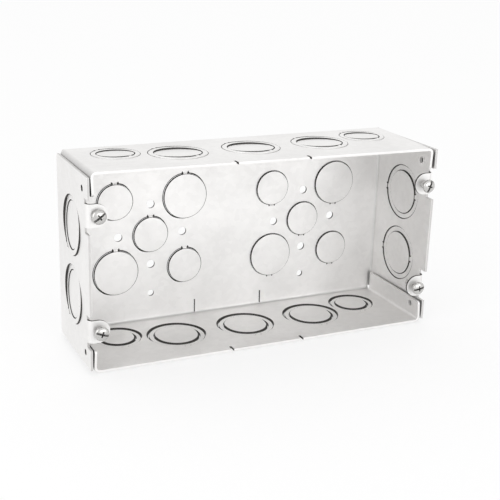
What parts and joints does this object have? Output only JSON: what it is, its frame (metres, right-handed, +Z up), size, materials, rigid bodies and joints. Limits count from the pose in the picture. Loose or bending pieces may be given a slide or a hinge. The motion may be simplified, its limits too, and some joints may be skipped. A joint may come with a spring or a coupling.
{
  "type": "electrical gang box",
  "caption": "Long rectangular folded sheet-steel electrical box, open at the front, with round knockouts in back and walls, folded ears and cover screws.",
  "frame": {"origin": "centre of the outer face of the back, which is the mounting face", "axes": "+X along the long side, to the right for someone who looks into the box; +Y from the open front through the back into the wall behind; +Z up"},
  "size_m": [0.2214, 0.0681, 0.1168],
  "materials": {
    "galvanised_sheet": "galvanised, semi-matt",
    "zinc_screw": "bright zinc plate"
  },
  "bodies": {
    "root": {"box_body": "galvanised_sheet", "cover_screws": "zinc_screw"}
  },
  "joints": []
}
